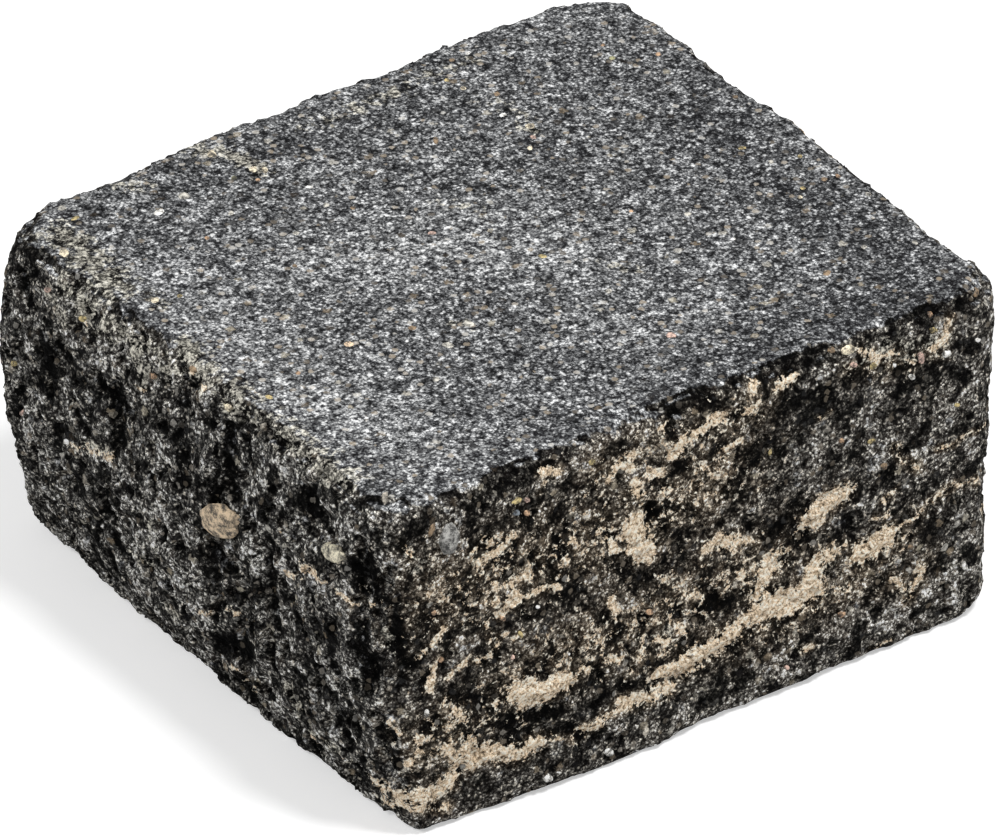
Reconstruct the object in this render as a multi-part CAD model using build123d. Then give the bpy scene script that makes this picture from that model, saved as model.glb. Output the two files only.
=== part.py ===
from build123d import *

import os
from dataclasses import dataclass
from math import cos, exp, hypot, pi, radians, sin

# Split and tumbled concrete wall block, as one solid.
#
# The block is pressed in a mould, so its two bed faces are flat and parallel. Its four sides are
# split, so each one is a cleft: it bellies, leans and waves by a few millimetres. Tumbling wears
# the arrises round and knocks the corners off. Millimetres, +Z up, origin at the middle of the
# lower bed face. The front is at -Y and the left side at -X.

# Driving dimensions
length = 256.0  # left to right, over the cleft sides
depth = 242.0  # front to back, over the cleft sides
height = 125.0  # one course of wall, between the bed faces

# The clefts and the worn arrises
cleft_proud = 4.5  # how far the clefts stand out past the straight lines of the plan
top_arris = 6.5  # mean wear of the upper arris
foot_arris = 5.5  # mean wear of the lower arris
arris_variation = 0.35  # share by which the wear of an arris comes and goes
arris_swells = (7, 17)  # how many times round the block it does so, coarse and fine
corner_wear = 4.0  # extra wear of the arrises at the four corners


@dataclass
class Side:
    """One cleft side, seen from outside."""

    belly: float  # how far it stands out at half height
    lean: float  # how far its foot stands out past its head
    roughness: float  # height of its waves


@dataclass
class Corner:
    """One upright corner: how far it stands out of the plan, and how round it is worn."""

    shift_x: float
    shift_y: float
    radius: float


@dataclass
class Wave:
    """A swell of the clefts: how many round the block, how many up it, share and phase."""

    around: int
    up: float
    share: float
    phase: float


@dataclass
class Spall:
    """A shallow hollow where a flake came off, by its share of the way round and its height."""

    around: float
    z: float
    deep: float  # below 0 for a ridge that stayed
    wide: float
    high: float


front = Side(belly=0.5, lean=4.5, roughness=1.0)
right = Side(belly=0.0, lean=-3.0, roughness=1.4)
back = Side(belly=8.0, lean=2.0, roughness=1.6)
left = Side(belly=10.0, lean=-9.0, roughness=1.8)

front_left = Corner(shift_x=-0.5, shift_y=-0.5, radius=16.0)
front_right = Corner(shift_x=-3.5, shift_y=1.5, radius=16.0)
back_right = Corner(shift_x=3.5, shift_y=3.0, radius=24.0)
back_left = Corner(shift_x=0.0, shift_y=-5.0, radius=24.0)

waves = [
    Wave(around=5, up=0.4, share=0.7, phase=292),
    Wave(around=9, up=-0.7, share=0.35, phase=276),
    Wave(around=14, up=1.1, share=0.3, phase=290),
]

spalls = [
    Spall(around=0.030, z=10, deep=4.0, wide=22, high=14),
    Spall(around=0.330, z=60, deep=3.0, wide=12, high=14),
    Spall(around=0.430, z=82, deep=3.0, wide=11, high=12),
    Spall(around=0.570, z=68, deep=3.0, wide=12, high=16),
    Spall(around=0.600, z=118, deep=4.0, wide=18, high=12),
    Spall(around=0.680, z=45, deep=3.0, wide=12, high=14),
    Spall(around=0.805, z=88, deep=3.0, wide=9, high=12),
    Spall(around=0.842, z=40, deep=3.5, wide=12, high=14),
    Spall(around=0.845, z=88, deep=3.5, wide=9, high=16),
    Spall(around=0.865, z=66, deep=2.5, wide=8, high=10),
    Spall(around=0.884, z=108, deep=3.0, wide=10, high=9),
    Spall(around=0.909, z=52, deep=5.5, wide=13, high=22),
    Spall(around=0.912, z=106, deep=4.5, wide=8, high=12),
    Spall(around=0.922, z=16, deep=3.5, wide=14, high=8),
    Spall(around=0.928, z=60, deep=-2.5, wide=8, high=30),
    Spall(around=0.939, z=66, deep=3.5, wide=8, high=16),
    Spall(around=0.961, z=108, deep=4.0, wide=11, high=10),
    Spall(around=0.974, z=42, deep=4.0, wide=11, high=12),
    Spall(around=0.989, z=88, deep=4.5, wide=9, high=22),
]

# How finely the skin is drawn
side_steps = 24
corner_steps = 4
wall_rows = 11
arris_angles = (75, 50, 25)  # degrees below level, from the bed face to the side
bed_sine = sin(radians(arris_angles[0]))


@dataclass
class Station:
    """A point of the plan outline, with its outward normal and the sides that it belongs to."""

    x: float
    y: float
    out_x: float
    out_y: float
    around: float
    side: Side
    next_side: Side
    turn: float  # 0 on a side, rising to 1 through the corner after it

    def mix(self, name):
        """A number of the side, eased into that of the next one through the corner."""
        here, there = getattr(self.side, name), getattr(self.next_side, name)
        ease = self.turn * self.turn * (3 - 2 * self.turn)
        return here + (there - here) * ease

    def cornerness(self):
        """0 on a side, 1 in the middle of a corner."""
        return sin(pi * self.turn)


def plan_corners():
    """The four corner points of the plan, anticlockwise from front left, with their radii."""
    half_x = length / 2 - cleft_proud
    half_y = depth / 2 - cleft_proud
    return [
        (-half_x - front_left.shift_x, -half_y - front_left.shift_y, front_left.radius),
        (half_x + front_right.shift_x, -half_y - front_right.shift_y, front_right.radius),
        (half_x + back_right.shift_x, half_y + back_right.shift_y, back_right.radius),
        (-half_x - back_left.shift_x, half_y + back_left.shift_y, back_left.radius),
    ]


def plan_stations():
    """Stations round the rounded outline of the plan, anticlockwise from the front side."""
    corners = plan_corners()
    sides = [front, right, back, left]
    stations = []
    for i, side in enumerate(sides):
        (x0, y0, r0), (x1, y1, r1) = corners[i], corners[(i + 1) % 4]
        x2, y2, _ = corners[(i + 2) % 4]
        here, there = hypot(x1 - x0, y1 - y0), hypot(x2 - x1, y2 - y1)
        ax, ay = (x1 - x0) / here, (y1 - y0) / here
        bx, by = (x2 - x1) / there, (y2 - y1) / there
        for k in range(side_steps):
            run = r0 + (here - r0 - r1) * k / side_steps
            x, y = x0 + ax * run, y0 + ay * run
            around = (i + run / here) / 4
            stations.append(Station(x, y, ay, -ax, around, side, side, 0.0))
        centre_x, centre_y = x1 - (ax - bx) * r1, y1 - (ay - by) * r1
        next_side = sides[(i + 1) % 4]
        for k in range(corner_steps):
            turn = k / corner_steps
            angle = turn * pi / 2
            out_x = ay * cos(angle) + by * sin(angle)
            out_y = -ax * cos(angle) - bx * sin(angle)
            x, y = centre_x + out_x * r1, centre_y + out_y * r1
            around = (i + (here - r1 + turn * 2 * r1) / here) / 4
            stations.append(Station(x, y, out_x, out_y, around, side, next_side, turn))
    return stations


def cleft(station, z):
    """How far the cleft stands out past the plan outline at a station and a height."""
    rise = z / height
    swell = sum(
        wave.share
        * sin(2 * pi * (wave.around * station.around + wave.up * rise) + radians(wave.phase))
        for wave in waves
    )
    out = station.mix("belly") * (4 * rise * (1 - rise) - 0.5)
    out += station.mix("lean") * (0.5 - rise)
    out += station.mix("roughness") * swell
    perimeter = 2 * (length + depth)
    for spall in spalls:
        away = abs(station.around - spall.around) % 1.0
        away = min(away, 1 - away) * perimeter
        out -= spall.deep * exp(-((away / spall.wide) ** 2) - ((z - spall.z) / spall.high) ** 2)
    return out


def wear(station, mean, phase):
    """How far in from its edge an arris is worn at a station."""
    coarse, fine = (sin(2 * pi * n * station.around + phase) for n in arris_swells)
    swell = arris_variation * (coarse + fine) / 2
    return mean * (1 + swell) + corner_wear * station.cornerness()


def foot_wear(station):
    return wear(station, foot_arris, 1.0)


def top_wear(station):
    return wear(station, top_arris, 2.0)


def row(stations, place):
    """A closed line round the block through each station; place gives its height and inset."""
    points = []
    for station in stations:
        z, inset = place(station)
        out = cleft(station, z) - inset
        points.append((station.x + station.out_x * out, station.y + station.out_y * out, z))
    first = stations[0].around
    knots = [station.around - first for station in stations] + [1.0]
    return Wire([Edge.make_spline(points, periodic=True, parameters=knots)])


def foot_row(stations, angle):
    """A row of the worn lower arris; it meets the lower bed face at the steepest angle."""

    def place(station):
        r = foot_wear(station)
        return r * (1 - sin(radians(angle)) / bed_sine), r * (1 - cos(radians(angle)))

    return row(stations, place)


def wall_row(stations, share):
    """A row of the cleft, its share of the way from the lower arris to the upper one."""

    def place(station):
        low, high = foot_wear(station), height - top_wear(station)
        return low + (high - low) * share, 0.0

    return row(stations, place)


def head_row(stations, angle):
    """A row of the worn upper arris; it meets the upper bed face at the steepest angle."""

    def place(station):
        r = top_wear(station)
        return height - r * (1 - sin(radians(angle)) / bed_sine), r * (1 - cos(radians(angle)))

    return row(stations, place)


def wall_block():
    """The block: one skin lofted through its rows, closed by the two flat bed faces."""
    stations = plan_stations()
    rows = [foot_row(stations, angle) for angle in arris_angles]
    rows += [wall_row(stations, k / (wall_rows - 1)) for k in range(wall_rows)]
    rows += [head_row(stations, angle) for angle in reversed(arris_angles)]
    block = Solid.make_loft(rows, ruled=True)
    middle = block.bounding_box().center()
    return Pos(-middle.X, -middle.Y, 0) * block


block = wall_block()

os.makedirs("parts", exist_ok=True)
export_step(block, "parts/wall_block.step")
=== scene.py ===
import math
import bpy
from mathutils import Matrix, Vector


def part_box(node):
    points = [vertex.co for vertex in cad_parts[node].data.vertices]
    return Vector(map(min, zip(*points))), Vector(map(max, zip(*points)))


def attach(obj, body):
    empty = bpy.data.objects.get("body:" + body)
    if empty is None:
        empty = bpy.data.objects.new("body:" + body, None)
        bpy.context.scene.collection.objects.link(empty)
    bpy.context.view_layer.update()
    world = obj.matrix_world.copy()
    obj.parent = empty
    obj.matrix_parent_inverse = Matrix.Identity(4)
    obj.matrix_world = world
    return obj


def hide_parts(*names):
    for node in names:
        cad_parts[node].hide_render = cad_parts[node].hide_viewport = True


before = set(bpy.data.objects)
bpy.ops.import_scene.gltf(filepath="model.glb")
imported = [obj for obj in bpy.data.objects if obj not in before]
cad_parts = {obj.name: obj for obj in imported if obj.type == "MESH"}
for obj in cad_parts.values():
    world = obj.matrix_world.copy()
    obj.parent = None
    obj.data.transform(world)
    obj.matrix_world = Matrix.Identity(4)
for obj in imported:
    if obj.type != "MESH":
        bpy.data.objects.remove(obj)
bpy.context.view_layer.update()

from types import SimpleNamespace

import bmesh
import bpy
import numpy as np
from bpy.props import FloatProperty, FloatVectorProperty, IntProperty, PointerProperty
from mathutils import Vector, noise
from mathutils.bvhtree import BVHTree

bl_info = {
    "name": "Split concrete wall block",
    "version": (1, 0, 0),
    "blender": (4, 5, 0),
    "location": "3D View > Sidebar > Wall block",
    "description": "The finish of a split and tumbled concrete wall block round its packed solid",
    "category": "Object",
}

NODE = "wall_block"
MM = 0.001
low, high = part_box(NODE)

# The photograph's frame, in its own pixels, and where the camera stood
PHOTO_WIDTH = 1000
PHOTO_HEIGHT = 836
FOCAL_PX = 9170.0
SENSOR = 36.0
CAMERA_AZIMUTH = math.radians(-35.71)
CAMERA_ELEVATION = math.radians(33.18)
CAMERA_DISTANCE = 3.0
CAMERA_SLIDE = (0.00384, -0.00564)  # across and up, from the line through the block's middle

# The stage: lamps with their name, place and width in metres and their power in watts
LAMPS = [
    ("key", (0.25, -0.85, 2.05), 0.5, 34.0),
    ("fill", (-1.4, 0.1, 1.5), 0.6, 12.0),
]
FLOOR_REACH = 6.0
FLOOR_TONE = 0.75
FLOOR_GLOW = 0.45  # how much the floor shines in the camera's eyes only
SKY_LIGHT = 0.3
SKY_SEEN = 1.0

# Sizes of the grains that the material draws
FINE_GRAIN = 1.05 * MM
MIDDLING_GRAIN = 2.6 * MM
COARSE_GRAIN = 4.6 * MM

# The pebbles
LARGE_PEBBLE_PX = 20  # longer ones sit in the solid's face, the others down in the rough skin
LARGE_PEBBLE_RINGS = 12
SMALL_PEBBLE_RINGS = 5
PEBBLE_DEPTH_SHARE = 0.6  # half the thickness, as a share of half the breadth
PEBBLE_DEPTH_MOST = 1.8 * MM
PEBBLE_SUNK_ON_BED = 0.65  # as a share of half the thickness
PEBBLE_SUNK_ON_CLEFT = 0.3
PEBBLE_BULGE = 0.22
PEBBLE_BULGE_RUN = 1.8  # how often the bulges come and go over a pebble
BED_NORMAL = 0.8  # a face whose normal is steeper than this belongs to a bed

# The loose crumbs
CRUMB_SUNK = 0.65  # as a share of a crumb's radius
CRUMB_CHIPPED = 1.6 * MM
CRUMB_FOOT = (2.5 * MM, 4 * MM)  # none lies below the first height, and all may above the second


class Graph:
    """Adds nodes to a node tree. A value may be a number, a colour or another node's output."""

    def __init__(self, tree):
        self.tree = tree
        self.across = 0

    def add(self, kind, **settings):
        node = self.tree.nodes.new(kind)
        node.location = (self.across, 0)
        self.across += 180
        for name, value in settings.items():
            setattr(node, name, value)
        return node

    def feed(self, socket, value):
        if isinstance(value, bpy.types.NodeSocket):
            self.tree.links.new(value, socket)
        elif value is not None:
            socket.default_value = value

    def math(self, operation, *values):
        node = self.add("ShaderNodeMath", operation=operation)
        for socket, value in zip(node.inputs, values):
            self.feed(socket, value)
        return node.outputs[0]

    def vector(self, operation, *values):
        node = self.add("ShaderNodeVectorMath", operation=operation)
        for socket, value in zip(node.inputs, values):
            self.feed(socket, value)
        return node.outputs["Vector"]

    def scaled(self, vector, factor):
        """A vector times a number."""
        node = self.add("ShaderNodeVectorMath", operation="SCALE")
        self.feed(node.inputs[0], vector)
        self.feed(node.inputs["Scale"], factor)
        return node.outputs[0]

    def stir(self, value, noise, amount):
        """A value moved up and down by a noise that runs from 0 to 1."""
        return self.math("MULTIPLY_ADD", self.math("SUBTRACT", noise, 0.5), amount, value)

    def step(self, value, start, end, low=0.0, high=1.0):
        """Rises smoothly from low to high as value goes from start to end."""
        node = self.add("ShaderNodeMapRange", interpolation_type="SMOOTHSTEP")
        self.feed(node.inputs["Value"], value)
        self.feed(node.inputs["From Min"], start)
        self.feed(node.inputs["From Max"], end)
        self.feed(node.inputs["To Min"], low)
        self.feed(node.inputs["To Max"], high)
        return node.outputs["Result"]

    def noise(self, place, size, detail=2.0, rough=0.5, seed=0.0, colour=False, warp=0.0):
        """Noise from about 0 to 1 whose swells are about size across, in metres."""
        node = self.add("ShaderNodeTexNoise", noise_dimensions="4D")
        self.feed(node.inputs["Vector"], place)
        self.feed(node.inputs["W"], seed)
        self.feed(node.inputs["Scale"], 1.0 / size)
        self.feed(node.inputs["Detail"], detail)
        self.feed(node.inputs["Roughness"], rough)
        self.feed(node.inputs["Distortion"], warp)
        return node.outputs["Color" if colour else "Fac"]

    def drift(self, place, size, rough, seed):
        """A random shift of a place, within 0.5 each way, that changes over about size."""
        wander = self.noise(place, size, 1, rough, seed, colour=True)
        return self.vector("SUBTRACT", wander, (0.5, 0.5, 0.5))

    def cells(self, place, size):
        """Cells about size across, in metres, each with a distance from its middle and a colour."""
        node = self.add("ShaderNodeTexVoronoi", feature="F1")
        self.feed(node.inputs["Vector"], place)
        self.feed(node.inputs["Scale"], 1.0 / size)
        return node

    def lean(self, place):
        """How far a place shifts along Y by its height, so that what is upright leans."""
        split = self.add("ShaderNodeSeparateXYZ")
        self.feed(split.inputs[0], place)
        joined = self.add("ShaderNodeCombineXYZ")
        self.feed(joined.inputs["Y"], self.math("MULTIPLY", split.outputs["Z"], 0.25))
        return joined.outputs[0]

    def mix(self, share, a, b, blend="MIX"):
        node = self.add("ShaderNodeMix", data_type="RGBA", blend_type=blend)
        node.clamp_result = blend == "MULTIPLY"
        self.feed(node.inputs["Factor"], share)
        self.feed(node.inputs[6], a)
        self.feed(node.inputs[7], b)
        return node.outputs[2]

    def toned(self, colour, factor):
        """A colour made darker or paler by a factor, white at the most."""
        return self.mix(1.0, colour, factor, "MULTIPLY")

    def split_colour(self, colour):
        node = self.add("ShaderNodeSeparateColor")
        self.feed(node.inputs[0], colour)
        return node.outputs

    def ramp(self, value, stops):
        """A colour ramp; stops are pairs of place and colour."""
        node = self.add("ShaderNodeValToRGB")
        ramp = node.color_ramp
        while len(ramp.elements) < len(stops):
            ramp.elements.new(0.5)
        for element, (place, colour) in zip(ramp.elements, stops):
            element.position = place
            element.color = (*colour, 1.0)
        self.feed(node.inputs["Fac"], value)
        return node.outputs["Color"]


class BlockRelief(bpy.types.PropertyGroup):
    """Sizes of the split skin."""

    voxel: FloatProperty(
        name="Skin mesh size", description="Edge of the skin's mesh", default=1.2 * MM,
        unit="LENGTH",
    )
    swell: FloatProperty(
        name="Swell", description="Height of the broad swells of the clefts", default=1.5 * MM,
        unit="LENGTH",
    )
    crumb: FloatProperty(
        name="Crumbs", description="Height of the crumbs of the clefts", default=4.0 * MM,
        unit="LENGTH",
    )
    arris: FloatProperty(
        name="Edge crumbs", description="Height of the crumbs of the upper arris",
        default=4.5 * MM, unit="LENGTH",
    )
    grain: FloatProperty(
        name="Grain", description="Height of single grains", default=0.8 * MM, unit="LENGTH",
    )
    flute: FloatProperty(
        name="Flutes", description="Depth of the upright flutes of the left side",
        default=3.4 * MM, unit="LENGTH",
    )
    pit: FloatProperty(
        name="Pits", description="Depth of the pits of the clefts", default=2.4 * MM,
        unit="LENGTH",
    )
    bed: FloatProperty(
        name="Bed grain", description="Height of the grain of the pressed beds",
        default=0.35 * MM, unit="LENGTH",
    )
    seed: IntProperty(name="Seed", description="Which random relief is drawn", default=4)
    triangles: IntProperty(
        name="Triangles", description="Most triangles in the skin", default=196000
    )


class BlockGrit(bpy.types.PropertyGroup):
    """Sizes of the loose crumbs."""

    density: FloatProperty(
        name="Crumbs per square metre", description="How thickly the crumbs are strewn",
        default=90000.0,
    )
    smallest: FloatProperty(
        name="Smallest crumb", description="Radius of the smallest crumb", default=0.5 * MM,
        unit="LENGTH",
    )
    largest: FloatProperty(
        name="Largest crumb", description="Radius of the largest crumb", default=2.1 * MM,
        unit="LENGTH",
    )
    seed: IntProperty(name="Seed", description="Which random crumbs are drawn", default=7)


class ConcreteFinish(bpy.types.PropertyGroup):
    """Colours of the concrete."""

    sand: FloatVectorProperty(
        name="Sand", description="Tan lumps and veins", subtype="COLOR",
        default=(0.92, 0.72, 0.51), min=0.0, max=1.0,
    )
    cream: FloatVectorProperty(
        name="Cream", description="Pale grit at the worn edges", subtype="COLOR",
        default=(0.46, 0.44, 0.38), min=0.0, max=1.0,
    )


def new_tree(name, sockets):
    """A Geometry Nodes tree with a geometry in and out and named number inputs."""
    tree = bpy.data.node_groups.new(name, "GeometryNodeTree")
    tree.interface.new_socket("Geometry", in_out="INPUT", socket_type="NodeSocketGeometry")
    tree.interface.new_socket("Geometry", in_out="OUTPUT", socket_type="NodeSocketGeometry")
    for socket, kind in sockets:
        tree.interface.new_socket(socket, in_out="INPUT", socket_type=kind)
    return tree


def run_tree(obj, tree, values):
    """Adds the tree to the object as a modifier, with its inputs set by their identifiers."""
    modifier = obj.modifiers.new(tree.name, "NODES")
    modifier.node_group = tree
    for item in tree.interface.items_tree:
        if item.in_out == "INPUT" and item.name in values:
            modifier[item.identifier] = values[item.name]


def settle(obj):
    """Turns what the object's modifiers make into its plain mesh."""
    obj.update_tag()
    evaluated = obj.evaluated_get(bpy.context.evaluated_depsgraph_get())
    mesh = bpy.data.meshes.new_from_object(evaluated)
    obj.modifiers.clear()
    obj.data = mesh
    mesh.name = obj.name


def tag_piece(piece):
    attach(piece, "root")
    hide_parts(NODE)


def solid_copy(name):
    """A merged copy of the block's solid, as an object of its own."""
    work = bmesh.new()
    work.from_mesh(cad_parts[NODE].data)
    bmesh.ops.remove_doubles(work, verts=work.verts, dist=0.001 * MM)
    mesh = bpy.data.meshes.new(name)
    work.to_mesh(mesh)
    work.free()
    obj = bpy.data.objects.new(name, mesh)
    bpy.context.scene.collection.objects.link(obj)
    return obj


def relief_tree(material):
    """Displaces the skin: swells, crumbs, grains, flutes and pits on the clefts, grain on the beds.

    It stores how much of a bed or of the left cleft a point is, how high its relief stands, and
    on the sides that the photograph doesn't show, how deep in a vein of sand it lies.
    """
    sizes = ["Swell", "Crumbs", "Edge crumbs", "Grain", "Flutes", "Pits", "Bed grain", "Seed"]
    tree = new_tree("block_relief", [(name, "NodeSocketFloat") for name in sizes])
    g = Graph(tree)
    given = g.add("NodeGroupInput").outputs
    place = g.add("GeometryNodeInputPosition").outputs[0]
    normal = g.add("GeometryNodeInputNormal").outputs[0]
    seed = given["Seed"]
    split = g.add("ShaderNodeSeparateXYZ")
    g.feed(split.inputs[0], normal)
    bed = g.step(g.math("ABSOLUTE", split.outputs["Z"]), 0.72, 0.985)
    cleft = g.math("SUBTRACT", 1.0, bed)
    left = g.step(g.math("MULTIPLY", split.outputs["X"], -1.0), 0.45, 0.8)
    hidden = g.step(g.math("MAXIMUM", split.outputs["X"], split.outputs["Y"]), 0.3, 0.7)

    swell = g.noise(place, 26 * MM, 2, 0.5, seed)
    crumb = g.noise(place, 9 * MM, 3, 0.62, seed, warp=0.6)
    grain = g.noise(place, 3.6 * MM, 1, 0.5, seed)
    upright = g.vector("MULTIPLY", g.vector("ADD", place, g.lean(place)), (1.0, 1.0, 0.32))
    flute = g.noise(upright, 12 * MM, 4, 0.6, seed, warp=0.5)
    ridge = g.math("SUBTRACT", 1.0, g.math("ABSOLUTE", g.math("MULTIPLY_ADD", flute, 4.0, -2.0)))
    pits = g.step(g.noise(place, 8 * MM, 3, 0.6, seed, warp=0.6), 0.52, 0.62)

    def part(height, value, middle):
        return g.math("MULTIPLY", height, g.math("SUBTRACT", value, middle))

    rough = g.math("ADD", part(given["Swell"], swell, 0.5), part(given["Crumbs"], crumb, 0.6))
    rough = g.math("ADD", rough, part(given["Grain"], grain, 0.5))
    flutes = g.math("MULTIPLY", left, part(given["Flutes"], ridge, 0.8))
    rough = g.math("ADD", rough, flutes)
    pitted = g.math("MULTIPLY", pits, g.math("MULTIPLY_ADD", left, 0.6, 0.4))
    rough = g.math("SUBTRACT", rough, g.math("MULTIPLY", given["Pits"], pitted))
    flat = part(given["Bed grain"], g.noise(place, 2.6 * MM, 2, 0.6, seed), 0.65)
    height = g.math("ADD", g.math("MULTIPLY", rough, cleft), g.math("MULTIPLY", flat, bed))
    upward = split.outputs["Z"]
    rim = g.math("MULTIPLY", g.step(upward, 0.3, 0.6), g.step(upward, 0.93, 0.99, 1.0, 0.0))
    knobs = part(given["Edge crumbs"], g.noise(place, 6 * MM, 2, 0.6, seed, warp=0.4), 0.53)
    height = g.math("ADD", height, g.math("MULTIPLY", knobs, rim))

    moved = g.add("GeometryNodeSetPosition")
    g.feed(moved.inputs["Geometry"], given["Geometry"])
    g.feed(moved.inputs["Offset"], g.scaled(normal, height))
    relief = g.math("DIVIDE", height, MM)
    layers = g.noise(g.vector("MULTIPLY", place, (0.35, 0.35, 1.0)), 26 * MM, 3, 0.6, 5.0, warp=0.9)
    ridged = g.math("ABSOLUTE", g.math("MULTIPLY_ADD", layers, 24.0, -12.0))
    patchy = g.step(g.noise(place, 45 * MM, 2, 0.5, 9.0), 0.42, 0.6, -1.2, 0.85)
    swath = g.math("SUBTRACT", patchy, ridged)
    swath = g.math("MULTIPLY_ADD", g.math("ADD", swath, 4.0), hidden, -4.0)
    kept = {"bed": bed, "left": left, "relief": relief, "swath": swath}
    shape = keep_values(g, moved.outputs[0], kept)
    return finish_tree(g, shape, material)


def finish_tree(g, shape, material):
    """Ends a tree with realised instances and a material, and gives the tree."""
    realised = g.add("GeometryNodeRealizeInstances")
    g.feed(realised.inputs[0], shape)
    dressed = g.add("GeometryNodeSetMaterial")
    g.feed(dressed.inputs["Geometry"], realised.outputs[0])
    dressed.inputs["Material"].default_value = material
    out = g.add("NodeGroupOutput")
    g.feed(out.inputs[0], dressed.outputs[0])
    return g.tree


def keep_values(g, shape, values, domain="POINT"):
    """Stores named values on a geometry."""
    for name, value in values.items():
        store = g.add("GeometryNodeStoreNamedAttribute", data_type="FLOAT", domain=domain)
        g.feed(store.inputs["Geometry"], shape)
        store.inputs["Name"].default_value = name
        g.feed(store.inputs["Value"], value)
        shape = store.outputs[0]
    return shape


def camera_axes():
    """Unit vectors towards the camera, to its right and upwards."""
    level = math.cos(CAMERA_ELEVATION)
    back = Vector(
        (
            math.sin(CAMERA_AZIMUTH) * level,
            -math.cos(CAMERA_AZIMUTH) * level,
            math.sin(CAMERA_ELEVATION),
        )
    )
    across = Vector((0, 0, 1)).cross(back).normalized()
    return back, across, back.cross(across)


def camera_place():
    back, across, up = camera_axes()
    middle = (low + high) / 2
    return middle + back * CAMERA_DISTANCE + across * CAMERA_SLIDE[0] + up * CAMERA_SLIDE[1]


def sight(u, v):
    """Direction from the camera through a pixel of the photograph."""
    back, across, up = camera_axes()
    right = (u - PHOTO_WIDTH / 2) / FOCAL_PX
    down = (v - PHOTO_HEIGHT / 2) / FOCAL_PX
    return (across * right - up * down - back).normalized()


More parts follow.
